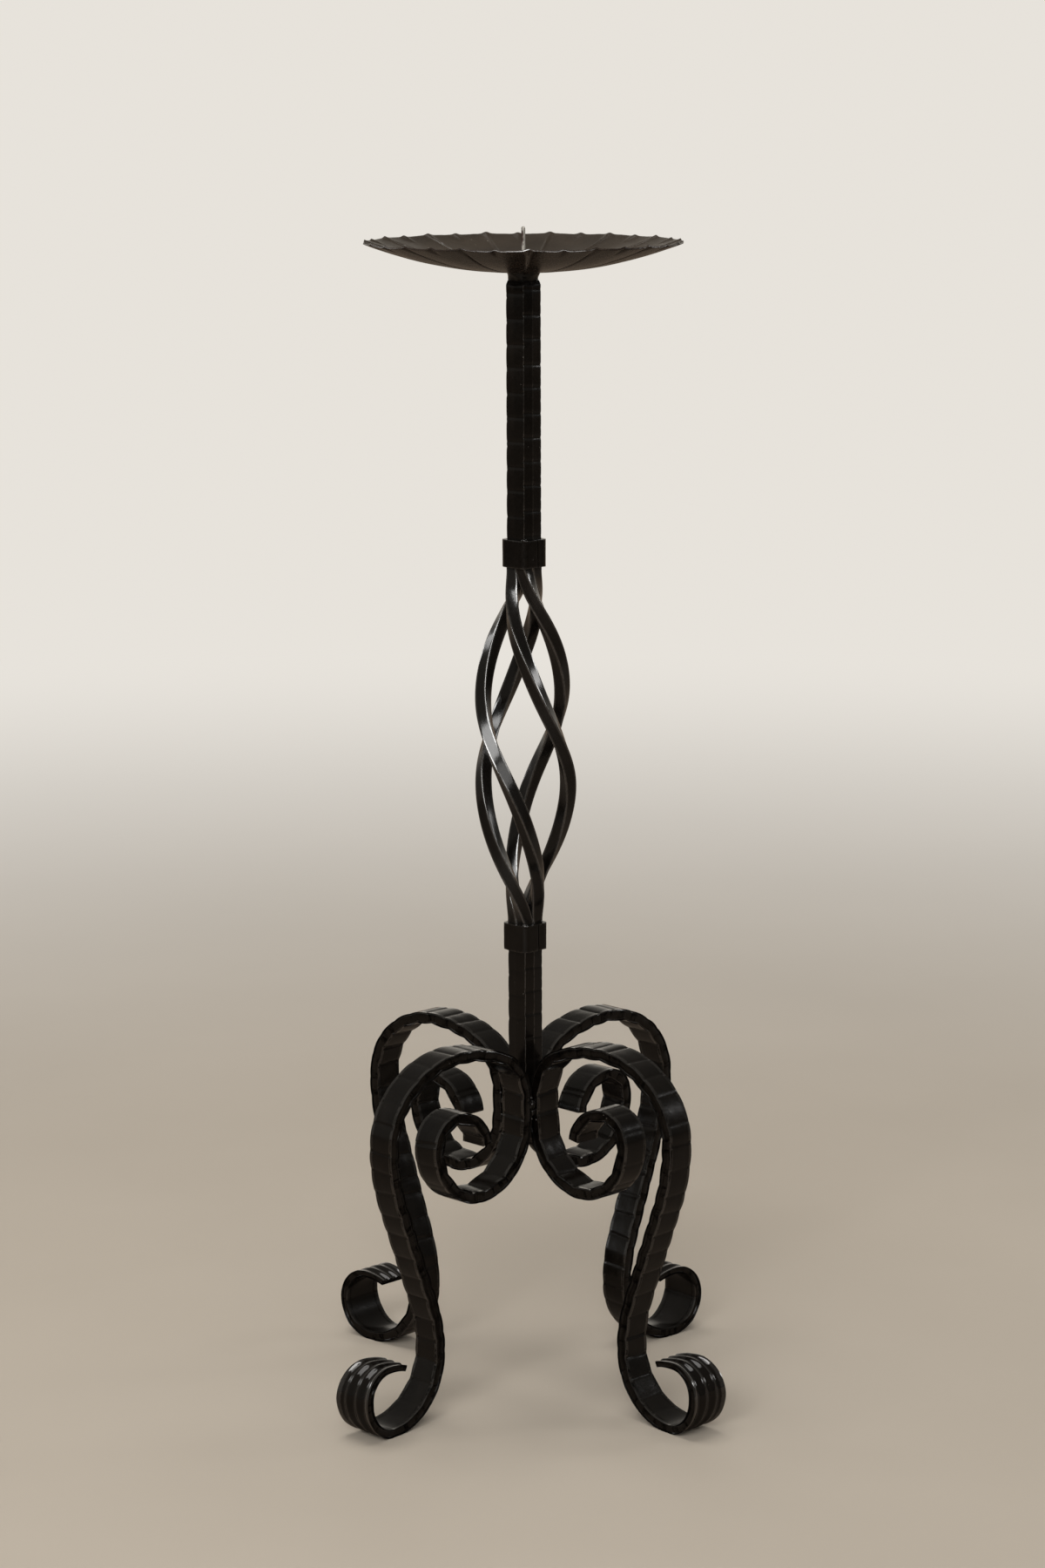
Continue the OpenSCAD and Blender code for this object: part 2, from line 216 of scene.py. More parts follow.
def struck(s, across, row, crease_depth, crease_half, pillow):
    """How deep a struck face lies at one place, and the blows before and after it."""
    i = min(max(bisect.bisect(row, (s,)), 1), len(row) - 1)
    last, coming = row[i - 1], row[i]
    before = abs(s - last[0] - last[1] * across)
    after = abs(coming[0] + coming[1] * across - s)
    crease = crease_depth * max(last[2] * (1 - before / crease_half),
                                coming[2] * (1 - after / crease_half), 0)
    return crease + pillow * (1 - math.sin(math.pi * before / (before + after))), last, coming


leg_run = sum(run_of(step) for step in LEG_STEPS) * MM
curl_run = sum(run_of(step) for step in CURL_STEPS) * MM
scroll_start = sum(run_of(step) for step in LEG_STEPS[:SOLE_STEP]) * MM
sole_end = sum(run_of(step) for step in LEG_STEPS[:SOLE_STEP + 1]) * MM
toe_end = sum(run_of(step) for step in LEG_STEPS[:SOLE_STEP + 2]) * MM
WIDTHS = [(scroll_start, BAR_W), (sole_end, (BAR_W + SCROLL_W) / 2),
          ((sole_end + toe_end) / 2, SCROLL_W), (toe_end, SCROLL_W), (leg_run, TIP_W)]
THICKNESSES = [(scroll_start, BAR_T), ((sole_end + toe_end) / 2, SCROLL_T),
               (toe_end, SCROLL_T), (leg_run, TIP_T)]
FLUTES = [(sole_end - 6 * MM, 0), ((sole_end + toe_end) / 2, FLUTE_DEPTH), (leg_run, FLUTE_DEPTH)]


def forge_leg(name, turn, seed):
    """One leg from the straight blank: hammered, fluted at its foot, bent, and turned."""
    leg = copy_of(leg_blank, name)
    outer = blow_row(-curl_run - 9 * MM, leg_run, seed, 0.3, 0.14)
    inner = blow_row(-curl_run - 3 * MM, leg_run, seed + 40, 0.3, 0.14)
    wear_and_sheen = leg.data.attributes.new("wear_and_sheen", "FLOAT", "POINT")
    sleek = leg.data.attributes.new("sleek", "FLOAT", "POINT")
    rings = {}
    for vertex in leg.data.vertices:
        s = vertex.co.x - curl_run
        u = vertex.co.y / (BAR_W / 2)
        t = vertex.co.z / (BAR_T / 2)
        if s not in rings:
            rings[s] = (leg_line(s), lookup(s, WIDTHS) / 2, lookup(s, THICKNESSES) / 2, lookup(s, FLUTES),
                        1 - steady((s - scroll_start) / (sole_end - scroll_start)))
        (r, z, heading, curve), half_w, half_t, flute, plain = rings[s]
        across = u * half_w
        dent, last, coming = struck(s, across, inner if t > 0 else outer, 0.42 * MM, 1.5 * MM, 0.6 * MM)
        dent *= 0.05 + 0.95 * plain
        bend = leg_line((last[0] + coming[0]) / 2)[3] / MM
        sag = abs(bend) * BLOW_PITCH ** 2 / 8
        flat = bend * plain * min(FLAT_SHARE, FLAT_MOST / sag) / 2 if sag else 0
        flat *= max(s - last[0], 0) * max(coming[0] - s, 0)
        lump = noise.noise(Vector((s * 110, u * 1.6 + (3 if t > 0 else 0), seed * 3.1)))
        dent += 0.14 * MM * (0.5 + 0.5 * lump) * plain
        if t < 0:
            dent += SCALE_LOSS + flute * (0.5 + 0.5 * math.cos(3 * math.pi * u))
        side_lump = 0.5 + 0.5 * noise.noise(Vector((s * 130, t * 0.8, seed * 5.3 + u)))
        across -= math.copysign(0.3 * MM * side_lump * abs(u) ** 6, u)
        offset = math.copysign(abs(t) * half_t - dent, t) + flat
        x = r * MM - math.sin(heading) * offset
        z = z * MM + math.cos(heading) * offset + CONTACT_Z
        arris = abs(u) > 0.85 and abs(t) > 0.66
        # Arrises lighter: worn paint and a painted highlight line along them; dented places a touch lighter
        # too.
        wear_and_sheen.data[vertex.index].value = 1.0 if arris else 0.15 * min(dent / MM, 0.3)
        sleek.data[vertex.index].value = 1.0 if arris else (1 - 0.7 * plain if t < 0 else 0)
        vertex.co = (x, BAR_OFF_AXIS + across, max(z, 0.0))
    edit(leg)
    bpy.ops.mesh.select_all(action="SELECT")
    bpy.ops.transform.rotate(value=math.radians(-turn), orient_axis="Z", center_override=(0, 0, 0))
    bpy.ops.mesh.normals_make_consistent(inside=False)
    done()
    bpy.ops.object.shade_smooth_by_angle(angle=math.radians(38))
    return leg


leg_blank = slab("leg_blank", curl_run + leg_run, BAR_W, BAR_T,
                 round((curl_run + leg_run) / RING_GAP), BAR_CELLS_ACROSS, BAR_ARRIS)
legs = [
    forge_leg("back_right_leg", 0, 1), forge_leg("back_left_leg", 90, 2),
    forge_leg("front_left_leg", 180, 3), forge_leg("front_right_leg", 270, 4),
]
discard(leg_blank)


def node(tree, kind, where, **values):
    """One shader node, with plain sizes set straight on its sockets."""
    made = tree.nodes.new(kind)
    made.location = where
    for name, value in values.items():
        if name in made.inputs:
            made.inputs[name].default_value = value
        elif name.replace("_", " ") in made.inputs:
            made.inputs[name.replace("_", " ")].default_value = value
        else:
            setattr(made, name, value)
    return made


def shader_group(name, inputs, outputs):
    group = bpy.data.node_groups.new(name, "ShaderNodeTree")
    for socket, kind, value in inputs:
        made = group.interface.new_socket(name=socket, in_out="INPUT", socket_type=kind)
        if value is not None:
            made.default_value = value
    for socket, kind in outputs:
        group.interface.new_socket(name=socket, in_out="OUTPUT", socket_type=kind)
    return group


def forged_surface_group():
    """Mottled scale under paint: a colour, a roughness and a height that wander over it."""
    group = shader_group(
        "forged_surface",
        [("Dark", "NodeSocketColor", None), ("Light", "NodeSocketColor", None),
         ("Worn And Sheen", "NodeSocketColor", None), ("Wear And Sheen Amount", "NodeSocketFloat", 0.5),
         ("Patch Scale", "NodeSocketFloat", 60.0), ("Grain Scale", "NodeSocketFloat", 900.0),
         ("Gloss Roughness", "NodeSocketFloat", 0.28), ("Dull Roughness", "NodeSocketFloat", 0.5),
         ("Speck Amount", "NodeSocketFloat", 0.5)],
        [("Color", "NodeSocketColor"), ("Roughness", "NodeSocketFloat"), ("Height", "NodeSocketFloat"),
         ("Rubbed", "NodeSocketFloat")])
    link = group.links.new
    given = node(group, "NodeGroupInput", (-1100, 0))
    out = node(group, "NodeGroupOutput", (900, 0))
    place = node(group, "ShaderNodeTexCoord", (-1100, -400))
    patches = node(group, "ShaderNodeTexNoise", (-800, 200), Detail=4.0, Roughness=0.6)
    grain = node(group, "ShaderNodeTexNoise", (-800, -100), Detail=3.0, Roughness=0.65)
    pits = node(group, "ShaderNodeTexVoronoi", (-800, -400), Scale=420.0)
    # The attribute read here draws the colour toward the worn colour: worn paint, and on the arrises, the
    # shaft's ridge lines and the pan's near rim also a painted highlight.
    wear_and_sheen_at = node(group, "ShaderNodeAttribute", (-800, -700), attribute_name="wear_and_sheen")
    for texture in (patches, grain, pits):
        link(place.outputs["Object"], texture.inputs["Vector"])
    link(given.outputs["Patch Scale"], patches.inputs["Scale"])
    link(given.outputs["Grain Scale"], grain.inputs["Scale"])
    blend = node(group, "ShaderNodeMapRange", (-500, 250))
    blend.inputs["From Min"].default_value = 0.38
    blend.inputs["From Max"].default_value = 0.66
    link(patches.outputs["Fac"], blend.inputs["Value"])
    colour = node(group, "ShaderNodeMix", (-200, 250), data_type="RGBA")
    link(blend.outputs["Result"], colour.inputs[0])
    link(given.outputs["Dark"], colour.inputs[6])
    link(given.outputs["Light"], colour.inputs[7])
    broken = node(group, "ShaderNodeMath", (-500, -650), operation="MULTIPLY")
    link(wear_and_sheen_at.outputs["Fac"], broken.inputs[0])
    link(grain.outputs["Fac"], broken.inputs[1])
    rubbed_and_sheen = node(group, "ShaderNodeMapRange", (-250, -820))
    rubbed_and_sheen.inputs["From Min"].default_value = 0.18
    rubbed_and_sheen.inputs["From Max"].default_value = 0.42
    link(broken.outputs[0], rubbed_and_sheen.inputs["Value"])
    link(rubbed_and_sheen.outputs["Result"], out.inputs["Rubbed"])
    amount = node(group, "ShaderNodeMath", (-250, -650), operation="MULTIPLY", use_clamp=True)
    link(broken.outputs[0], amount.inputs[0])
    link(given.outputs["Wear And Sheen Amount"], amount.inputs[1])
    worn_and_sheen = node(group, "ShaderNodeMix", (100, 250), data_type="RGBA")
    link(amount.outputs[0], worn_and_sheen.inputs[0])
    link(colour.outputs[2], worn_and_sheen.inputs[6])
    link(given.outputs["Worn And Sheen"], worn_and_sheen.inputs[7])
    dots = node(group, "ShaderNodeTexVoronoi", (-800, -1000), Scale=160.0)
    link(place.outputs["Object"], dots.inputs["Vector"])
    dot = node(group, "ShaderNodeMapRange", (-500, -1000))
    dot.inputs["From Min"].default_value = 0.09
    dot.inputs["From Max"].default_value = 0.05
    link(dots.outputs["Distance"], dot.inputs["Value"])
    few = node(group, "ShaderNodeMapRange", (-500, -1250))
    few.inputs["From Min"].default_value = 0.56
    few.inputs["From Max"].default_value = 0.6
    link(patches.outputs["Fac"], few.inputs["Value"])
    speck = node(group, "ShaderNodeMath", (-250, -1000), operation="MULTIPLY")
    link(dot.outputs["Result"], speck.inputs[0])
    link(few.outputs["Result"], speck.inputs[1])
    dust = node(group, "ShaderNodeMath", (0, -1000), operation="MULTIPLY", use_clamp=True)
    link(speck.outputs[0], dust.inputs[0])
    link(given.outputs["Speck Amount"], dust.inputs[1])
    dusty = node(group, "ShaderNodeMix", (350, 250), data_type="RGBA")
    link(dust.outputs[0], dusty.inputs[0])
    link(worn_and_sheen.outputs[2], dusty.inputs[6])
    link(given.outputs["Worn And Sheen"], dusty.inputs[7])
    link(dusty.outputs[2], out.inputs["Color"])
    dullness = node(group, "ShaderNodeMix", (100, 0), data_type="FLOAT")
    link(grain.outputs["Fac"], dullness.inputs[0])
    link(given.outputs["Gloss Roughness"], dullness.inputs[2])
    link(given.outputs["Dull Roughness"], dullness.inputs[3])
    sleek_at = node(group, "ShaderNodeAttribute", (100, -150), attribute_name="sleek")
    sleekness = node(group, "ShaderNodeMix", (350, 0), data_type="FLOAT")
    link(sleek_at.outputs["Fac"], sleekness.inputs[0])
    link(dullness.outputs[0], sleekness.inputs[2])
    link(given.outputs["Gloss Roughness"], sleekness.inputs[3])
    link(sleekness.outputs[0], out.inputs["Roughness"])
    pit = node(group, "ShaderNodeMapRange", (-500, -400))
    pit.inputs["From Max"].default_value = 0.35
    link(pits.outputs["Distance"], pit.inputs["Value"])
    height = node(group, "ShaderNodeMath", (300, -300), operation="MULTIPLY_ADD")
    height.inputs[1].default_value = 0.35
    link(pit.outputs["Result"], height.inputs[0])
    link(grain.outputs["Fac"], height.inputs[2])
    link(height.outputs[0], out.inputs["Height"])
    return group


forged_surface = forged_surface_group()


def painted_iron(name, dark, light, worn_and_sheen, wear_and_sheen, gloss, dull, bump, grain=900.0, patch=60.0, specks=0.5,
                 shine=0.45):
    """Paint over forged iron, with the shared surface and this finish's own values."""
    material = bpy.data.materials.new(name)
    material.use_nodes = True
    tree = material.node_tree
    shader = tree.nodes["Principled BSDF"]
    shader.inputs["Specular IOR Level"].default_value = shine
    shader.inputs["Coat Roughness"].default_value = 0.09
    shader.inputs["Coat IOR"].default_value = 1.9
    surface = node(tree, "ShaderNodeGroup", (-500, 0), node_tree=forged_surface)
    for socket, value in (
        ("Dark", (*dark, 1)), ("Light", (*light, 1)), ("Worn And Sheen", (*worn_and_sheen, 1)), ("Wear And Sheen Amount", wear_and_sheen),
        ("Patch Scale", patch), ("Grain Scale", grain), ("Gloss Roughness", gloss), ("Dull Roughness", dull),
        ("Speck Amount", specks),
    ):
        surface.inputs[socket].default_value = value
    relief = node(tree, "ShaderNodeBump", (-250, -250), Strength=bump, Distance=0.3 * MM)
    tree.links.new(surface.outputs["Color"], shader.inputs["Base Color"])
    tree.links.new(surface.outputs["Roughness"], shader.inputs["Roughness"])
    tree.links.new(surface.outputs["Rubbed"], shader.inputs["Coat Weight"])
    tree.links.new(surface.outputs["Height"], relief.inputs["Height"])
    tree.links.new(relief.outputs["Normal"], shader.inputs["Normal"])
    return material


black_paint = painted_iron("black_iron_paint", (0.0024, 0.0017, 0.0012), (0.005, 0.0037, 0.0027),
                           (0.15, 0.135, 0.12), 0.1, 0.09, 0.31, 0.08, grain=700.0)


def finish(piece, material, slot, *nodes):
    """Gives a finished piece its material and its place on the stand, and hides the imported node it stands
    in for.
    """
    piece.data.materials.clear()
    piece.data.materials.append(material)
    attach(piece, "root")
    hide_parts(*nodes)


for leg, cad_node in zip(legs, ("leg_back_right", "leg_back_left", "leg_front_left", "leg_front_right")):
    finish(leg, black_paint, "black_iron", cad_node)


# The hub's welds. Where a bar's back, the next bar's edge and the shaft meet, a rod was
# run down the corner; the bead is a row of overlapped ripples, with a little spatter.
BEAD_X = 6.3 * MM
BEAD_Y = 11.3 * MM
BEAD_Z = CONTACT_Z + 7.75 * MM
# Each drop is its place beside the bead's middle, and its radius
BEAD_DROPS = [(0, 0, 2.4, 3.2), (-0.4, -0.3, -2.9, 2.8), (-1.9, 2.6, -7.4, 0.8), (2.3, 2.3, 7.6, 0.9),
              (-2.6, 2.3, 4.4, 0.6), (1.6, 2.2, -6.2, 0.7)]


def ball(name, centre, radius, stretch=1.0):
    bpy.ops.object.select_all(action="DESELECT")
    bpy.ops.mesh.primitive_ico_sphere_add(subdivisions=4, radius=radius)
    made = bpy.context.object
    made.name = name
    edit(made)
    bpy.ops.mesh.select_all(action="SELECT")
    bpy.ops.transform.resize(value=(1, 1, stretch))
    bpy.ops.transform.translate(value=centre)
    done()
    return made


def join(pieces, name):
    bpy.ops.object.select_all(action="DESELECT")
    for piece in pieces:
        piece.select_set(True)
    bpy.context.view_layer.objects.active = pieces[0]
    bpy.ops.object.join()
    pieces[0].name = name
    pieces[0].data.name = name
    return pieces[0]


def weld_lumps(piece, ripple, lump, seed):
    """Ripples down a weld bead and the lumps of metal that froze in it."""
    for vertex in piece.data.vertices:
        p = vertex.co
        push = ripple * math.sin(p.z / (0.9 * MM)) + lump * noise.noise(p * 420 + Vector((seed, 0, 0)))
        vertex.co = p + vertex.normal * push


bead_parts = []
for corner in range(4):
    drops = []
    for x, y, z, r in BEAD_DROPS:
        drop = ball("drop", (BEAD_X + x * MM, BEAD_Y + y * MM, BEAD_Z + z * MM), r * MM)
        weld_lumps(drop, 0.04 * r * MM, 0.12 * r * MM, corner * 9 + z)
        drops.append(drop)
    whole = join(drops, "hub_bead")
    edit(whole)
    bpy.ops.mesh.select_all(action="SELECT")
    bpy.ops.transform.rotate(value=math.radians(-90 * corner), orient_axis="Z", center_override=(0, 0, 0))
    done()
    bead_parts.append(whole)
hub_beads = join(bead_parts, "hub_weld_beads")
bpy.ops.object.shade_smooth()
weld_paint = painted_iron("weld_paint", (0.004, 0.0032, 0.0026), (0.014, 0.012, 0.010),
                          (0.1, 0.09, 0.08), 0.0, 0.07, 0.15, 0.12, grain=1400.0, shine=0.7)
finish(hub_beads, weld_paint, "weld_iron", "hub_welds")


# The lower shaft. Square bar, its faces crowned and creased by the same hammer and its
# four arrises knocked flat. It stands in the hub between the leg bars.
SHAFT_W = 16 * MM
SHAFT_ARRIS = 0.55 * MM
SHAFT_CROWN = 0.35 * MM
CROWN_SOFT = 0.4 * MM
RIDGE_LINE = 0.4 * MM
# The four faces from +X round to -Y: how deep the creases go, and how they slant
SHAFT_FACES = [(0.22 * MM, 0.03), (0.45 * MM, 0.06), (0.22 * MM, 0.03), (0.45 * MM, 0.06)]


def square_bar(name, bottom, top, width, arris, cells_across, rings):
    """An upright square bar with rounded arrises and a grid over its faces."""
    bpy.ops.object.select_all(action="DESELECT")
    bpy.ops.mesh.primitive_cube_add(size=1)
    bar = bpy.context.object
    bar.name = name
    edit(bar)
    bpy.ops.mesh.select_all(action="SELECT")
    bpy.ops.transform.resize(value=(width, width, top - bottom))
    bpy.ops.transform.translate(value=(0, 0, (top + bottom) / 2))
    pick(bar, lambda a, b: abs(a.z - b.z) > width / 2, "EDGE")
    bpy.ops.mesh.bevel(offset=arris, segments=3)
    for i in range(1, cells_across):
        at = width * (i / cells_across - 0.5)
        for normal in ((1, 0, 0), (0, 1, 0)):
            bpy.ops.mesh.select_all(action="SELECT")
            bpy.ops.mesh.bisect(plane_co=[at * n for n in normal], plane_no=normal)
    for parts in rings:
        pick(bar, lambda a, b: (a.xy - b.xy).length < 0.01 * MM, "EDGE")
        bpy.ops.mesh.subdivide(number_cuts=parts - 1)
    done()
    return bar


def hammer_shaft(bar, bottom, top, seed):
    """Faces struck to a low ridge along their middle, with creases across them."""
    half = SHAFT_W / 2
    rows = [blow_row(bottom - 12 * MM + side * 3 * MM, top + BLOW_PITCH, seed + side, 0.1, 0.02)
            for side in range(4)]
    wear_and_sheen = bar.data.attributes.new("wear_and_sheen", "FLOAT", "POINT")
    for vertex in bar.data.vertices:
        x, y, z = vertex.co
        moved = [x, y]
        for axis, value, across in ((0, x, y), (1, y, x)):
            share = (abs(value) / half - 0.8) / 0.2
            if share < 0:
                continue
            side = axis if value > 0 else axis + 2
            depth, slant = SHAFT_FACES[side]
            dent = struck(z + slant * across, across, rows[side], depth, 1.4 * MM, 0.14 * MM)[0]
            ridge = SHAFT_CROWN * (math.hypot(across, CROWN_SOFT) - CROWN_SOFT) / half
            lump = 0.07 * MM * (0.5 + 0.5 * noise.noise(Vector((z * 110, across * 160, seed + side))))
            moved[axis] -= math.copysign((dent + ridge + lump) * share, value)
        # Lighter on the arrises and down the middle of the ±Y faces: worn paint, and painted highlight
        # lines.
        arris = min(abs(x), abs(y)) > half - SHAFT_ARRIS * 1.1
        ridge_line = abs(x) < RIDGE_LINE and abs(y) > half * 0.9
        wear_and_sheen.data[vertex.index].value = 0.8 if arris or ridge_line else 0.08
        vertex.co = (*moved, z)
    edit(bar)
    bpy.ops.mesh.select_all(action="SELECT")
    bpy.ops.mesh.normals_make_consistent(inside=False)
    done()
    bpy.ops.object.shade_smooth_by_angle(angle=math.radians(38))


shaft_bottom, shaft_top = (corner.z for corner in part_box("lower_shaft"))
lower_bar = square_bar("lower_bar", shaft_bottom, shaft_top, SHAFT_W, SHAFT_ARRIS, 20, (12, 12))
hammer_shaft(lower_bar, shaft_bottom, shaft_top, 11)
finish(lower_bar, black_paint, "black_iron", "lower_shaft")


# The lower collar. A strap of iron wrapped hot round the joint of shaft and rods and
# squeezed in the vice, so that its corners stay round and its ends meet in a seam.
COLLAR_W = 21.4 * MM
STRAP_T = 2.6 * MM
COLLAR_CORNER = 4 * MM
SEAM_X = 1.5 * MM
SEAM_W = 0.7 * MM


def strap_collar(name, cad_node, seed):
    low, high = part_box(cad_node)
    bpy.ops.object.select_all(action="DESELECT")
    bpy.ops.mesh.primitive_cube_add(size=1)
    strap = bpy.context.object
    strap.name = name
    edit(strap)
    bpy.ops.mesh.select_all(action="SELECT")
    bpy.ops.transform.resize(value=(COLLAR_W, COLLAR_W, high.z - low.z))
    bpy.ops.transform.translate(value=(0, 0, (low.z + high.z) / 2))
    pick(strap, lambda a, b: abs(a.z - b.z) > 5 * MM, "EDGE")
    bpy.ops.mesh.bevel(offset=COLLAR_CORNER, segments=8)
    pick(strap, lambda middle, normal: abs(normal.z) > 0.9)
    bpy.ops.mesh.inset(thickness=STRAP_T)
    bpy.ops.mesh.bridge_edge_loops()
    for axis in ((1, 0, 0), (0, 1, 0)):
        for at in (-6, -4, -2, 0, 2, 4, 6):
            bpy.ops.mesh.select_all(action="SELECT")
            bpy.ops.mesh.bisect(plane_co=[at * MM * n for n in axis], plane_no=axis)
    for i in range(1, 12):
        bpy.ops.mesh.select_all(action="SELECT")
        bpy.ops.mesh.bisect(plane_co=(0, 0, low.z + (high.z - low.z) * i / 12), plane_no=(0, 0, 1))
    done()
    bpy.ops.mesh.primitive_cube_add(size=1)
    blade = bpy.context.object
    edit(blade)
    bpy.ops.mesh.select_all(action="SELECT")
    bpy.ops.transform.resize(value=(SEAM_W, STRAP_T * 3, (high.z - low.z) * 2))
    bpy.ops.transform.rotate(value=math.radians(1.5), orient_axis="Y")
    bpy.ops.transform.translate(value=(SEAM_X, -COLLAR_W / 2, (low.z + high.z) / 2))
    done()
    cut = strap.modifiers.new("seam", "BOOLEAN")
    cut.object = blade
    cut.solver = "EXACT"
    soften = strap.modifiers.new("soften", "BEVEL")
    soften.width = 0.45 * MM
    soften.segments = 3
    soften.limit_method = "ANGLE"
    soften.angle_limit = math.radians(50)
    bpy.ops.object.select_all(action="DESELECT")
    strap.select_set(True)
    bpy.context.view_layer.objects.active = strap
    bpy.ops.object.modifier_apply(modifier="seam")
    bpy.ops.object.modifier_apply(modifier="soften")
    discard(blade)
    wear_and_sheen = strap.data.attributes.new("wear_and_sheen", "FLOAT", "POINT")
    for vertex in strap.data.vertices:
        p = vertex.co
        outside = max(abs(p.x), abs(p.y)) > COLLAR_W / 2 - 1.2 * MM
        low_edge = steady((low.z + 5 * MM - p.z) / (5 * MM))
        dip = 0.5 + 0.5 * noise.noise(Vector((p.x * 150, p.y * 150, seed)))
        if outside:
            sunk = 0.18 * MM * (0.5 + 0.5 * noise.noise(p * 260 + Vector((seed, 0, 0))))
            p.x -= math.copysign(sunk, p.x)
            p.y -= math.copysign(sunk, p.y)
        p.z += low_edge * dip * 0.9 * MM
        rim = min(p.z - low.z, high.z - p.z) < 1.2 * MM
        wear_and_sheen.data[vertex.index].value = 0.7 if outside and rim else 0.1
        vertex.co = p
    bpy.ops.object.shade_smooth_by_angle(angle=math.radians(32))
    finish(strap, black_paint, "black_iron", cad_node)
    return strap


strap_collar("lower_strap", "lower_collar", 3)


# The basket. Four square rods, fire-welded at their ends, heated, twisted three quarters
# of a turn and then pushed together along the axis, so that they spring apart.
ROD_W = 7.8 * MM
ROD_R0 = 8 / math.sqrt(2) * MM
BASKET_R = 27.8 * MM
BASKET_TURN = 270
BASKET_EASE = 0.4
BASKET_EASE_END = 0.28
BASKET_BELLY = 2.4
BASKET_TIP = 1.6
BUNDLE_SHARE = 0.01
ROD_LEADS = (4, 10, 10, 10)
ROD_SWELLS = (1.04, 1.03, 0.97, 0.97)
ROD_ARRIS = 0.45 * MM
twist_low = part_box("lower_collar")[1].z
twist_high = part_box("upper_collar")[0].z
rod_low, rod_high = (corner.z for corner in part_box("basket_rod_1"))


def rod_middle(z, number):
    """The middle line of a rod: its turn and its swell at one height."""
    down = min(max((twist_high - z) / (twist_high - twist_low), 0), 1)
    spread = min(max((down - BUNDLE_SHARE) / (1 - 2 * BUNDLE_SHARE), 0), 1)
    swell = ROD_SWELLS[number] * max(1 - abs(2 * spread - 1) ** BASKET_BELLY, 0) ** BASKET_TIP
    r = ROD_R0 + (BASKET_R - ROD_R0) * swell
    eased = BASKET_EASE * math.sin(2 * math.pi * down) / (2 * math.pi)
    eased += BASKET_EASE_END * math.sin(4 * math.pi * down) / (4 * math.pi)
    lead = ROD_LEADS[number] * math.sin(math.pi * down)
    angle = math.radians(45 + number * 90 + BASKET_TURN * (down + eased) + lead)
    return Vector((r * math.cos(angle), r * math.sin(angle), z))


def forge_rod(name, number):
    rod = copy_of(rod_blank, name)
    wear_and_sheen = rod.data.attributes.new("wear_and_sheen", "FLOAT", "POINT")
    frames = {}
    for vertex in rod.data.vertices:
        x, y, z = vertex.co
        key = round(z / (0.01 * MM))
        if key not in frames:
            middle = rod_middle(z, number)
            step = rod_middle(z + 0.4 * MM, number) - rod_middle(z - 0.4 * MM, number)
            ahead = step.normalized()
            radial = Vector((middle.x, middle.y, 0)).normalized()
            out = (radial - ahead * radial.dot(ahead)).normalized()
            frames[key] = (middle, out, ahead.cross(out))
        middle, out, side = frames[key]
        dent = 0.14 * MM * (0.5 + 0.5 * noise.noise(Vector((x * 120, y * 120, z * 60 + number * 5))))
        squeeze = 1 - dent / (ROD_W / 2)
        a, b = x * squeeze, y * squeeze
        # The bar's corner at +X +Y faces outwards
        diagonal, cross = (a + b) / math.sqrt(2), (b - a) / math.sqrt(2)
        vertex.co = middle + out * diagonal + side * cross
        # Arrises lighter: worn paint and a painted highlight line along them.
        wear_and_sheen.data[vertex.index].value = 1.0 if min(abs(x), abs(y)) > ROD_W / 2 - ROD_ARRIS * 1.1 else 0.05
    edit(rod)
    bpy.ops.mesh.select_all(action="SELECT")
    bpy.ops.mesh.normals_make_consistent(inside=False)
    done()
    bpy.ops.object.shade_smooth_by_angle(angle=math.radians(32))
    finish(rod, rod_paint, "black_iron", "basket_rod_%d" % (number + 1))


rod_paint = painted_iron("rod_paint", (0.0035, 0.0029, 0.0024), (0.008, 0.0066, 0.0055),
                         (0.10, 0.09, 0.08), 0.6, 0.1, 0.21, 0.08, grain=500.0, patch=35.0, shine=0.5)
rod_blank = square_bar("rod_blank", rod_low, rod_high, ROD_W, ROD_ARRIS, 5, (13, 13))
for rod_number in range(4):
    forge_rod("twisted_rod_%d" % (rod_number + 1), rod_number)
discard(rod_blank)


# The upper collar, a twin of the lower one, and the tack of weld on each collar's upper
# edge that keeps the strap from slipping.
strap_collar("upper_strap", "upper_collar", 8)
tack_parts = []
for tack_number, cad_node in enumerate(("lower_collar", "upper_collar")):
    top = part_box(cad_node)[1].z
    tack = ball("tack", (-9.1 * MM, -9.1 * MM, top + 0.2 * MM), 1.7 * MM, 0.8)
    weld_lumps(tack, 0.05 * MM, 0.45 * MM, tack_number * 5)
    small = ball("tack_spill", (-8.6 * MM, -10.2 * MM, top), 1.1 * MM, 0.8)
    tack_parts += [tack, small]
tacks = join(tack_parts, "collar_tack_welds")
bpy.ops.object.shade_smooth()
finish(tacks, weld_paint, "weld_iron", "collar_tacks")


# The upper shaft. The same hammered square bar, with its top end bevelled for the weld.
TOP_BEVEL = 3 * MM
BEVEL_IN = 0.9 * MM
upper_bottom, upper_top = (corner.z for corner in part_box("upper_shaft"))
upper_bar = square_bar("upper_bar", upper_bottom, upper_top, SHAFT_W, SHAFT_ARRIS, 20, (14, 14))
hammer_shaft(upper_bar, upper_bottom, upper_top, 21)
for vertex in upper_bar.data.vertices:
    near_top = max(0, vertex.co.z - (upper_top - TOP_BEVEL)) / TOP_BEVEL
    if near_top > 0:
        limit = SHAFT_W / 2 - SHAFT_CROWN - BEVEL_IN * near_top
        vertex.co.x = max(-limit, min(limit, vertex.co.x))
        vertex.co.y = max(-limit, min(limit, vertex.co.y))
finish(upper_bar, black_paint, "black_iron", "upper_shaft")


